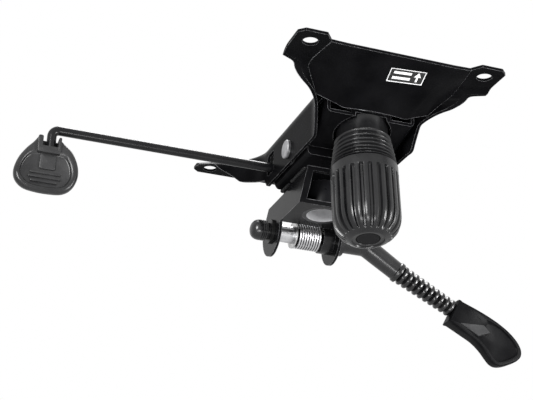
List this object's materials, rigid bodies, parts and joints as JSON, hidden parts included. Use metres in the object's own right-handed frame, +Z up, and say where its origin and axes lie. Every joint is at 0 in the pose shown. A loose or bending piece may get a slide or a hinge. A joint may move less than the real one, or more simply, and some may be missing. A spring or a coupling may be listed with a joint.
{
  "type": "office chair tilt mechanism",
  "caption": "Under-seat tilt mechanism: seat plate rocking on a base channel with column socket, sprung tension knob, height lever and tilt lock lever.",
  "frame": {"origin": "centre of the column socket's mouth, on the column axis, at the underside of the column housing", "axes": "+Z up along the column to the seat, -Y to the front of the chair, +X to the side of the lock lever"},
  "size_m": [0.4871, 0.2855, 0.176],
  "materials": {
    "black_steel": "satin black powder coat on pressed steel",
    "black_rod": "satin black coat on round bar",
    "bright_steel": "turned steel",
    "zinc": "bright zinc plate",
    "spring_steel": "drawn spring wire",
    "black_plastic": "moulded black plastic with a fine grain",
    "boot_rubber": "moulded black rubber",
    "nylon": "black nylon"
  },
  "bodies": {
    "base": {"base_channel": "black_steel", "column_housing": "black_steel", "taper_bush": "bright_steel", "pivot_axle": "zinc", "spring_guide": "nylon", "spring_boot": "boot_rubber", "tension_spring": "spring_steel", "lever_grommet": "nylon", "ear_bushes": "nylon"},
    "seat": {"seat_plate": "black_steel", "bolt_bridge": "black_steel", "lock_sector": "black_steel", "pivot_bushes": "nylon"},
    "bolt": {"tension_bolt": "zinc", "rocker_washer": "zinc"},
    "carrier": {"thrust_washer": "bright_steel"},
    "knob": {"tension_knob": "black_plastic", "knob_nut": "zinc", "knob_cap": "black_plastic"},
    "height_lever": {"height_lever_rod": "black_rod", "height_lever_paddle": "black_plastic"},
    "lock": {"lock_shaft": "bright_steel", "acorn_cap": "black_plastic", "spring_sleeve": "zinc", "spring_seat": "bright_steel", "return_spring": "spring_steel", "lock_pawl": "black_steel", "shaft_collar": "black_plastic", "lever_elbow": "black_plastic", "flex_neck": "boot_rubber", "lock_paddle": "black_plastic"}
  },
  "joints": [
    {"name": "seat_tilt", "type": "hinge", "parent": "base", "child": "seat", "pos_m": [0, -0.026, 0.0444], "axis": [-1, 0, 0], "range_deg": [0, 12], "stiffness_Nm_per_rad": 20, "springref_deg": -14.32},
    {"name": "bolt_lift", "type": "slide", "parent": "base", "child": "bolt", "axis": [0, 0.1295, 0.9916], "range_m": [0, 0.0125], "deforming": ["spring_boot", "tension_spring"]},
    {"name": "knob_travel", "type": "slide", "parent": "bolt", "child": "carrier", "axis": [0, 0.1295, 0.9916], "range_m": [0, 0.009], "deforming": ["spring_boot", "tension_spring"]},
    {"name": "knob_turn", "type": "hinge", "parent": "carrier", "child": "knob", "pos_m": [0, -0.0871, 0.0258], "axis": [0, 0.1295, 0.9916], "range_deg": [0, 2165]},
    {"name": "lever_lift", "type": "hinge", "parent": "base", "child": "height_lever", "pos_m": [-0.03725, 0.018, 0.0453], "axis": [0, 1, 0], "range_deg": [0, 8], "stiffness_Nm_per_rad": 0.6, "springref_deg": -17.19},
    {"name": "lock_turn", "type": "hinge", "parent": "base", "child": "lock", "pos_m": [0, 0.0495, -0.002], "axis": [1, 0, 0], "range_deg": [0, 15]}
  ],
  "couplings": [
    {"joint": "bolt_lift", "follows": "seat_tilt", "m_per_rad": 0.0579},
    {"joint": "knob_turn", "follows": "knob_travel", "rad_per_m": 4188.8}
  ]
}
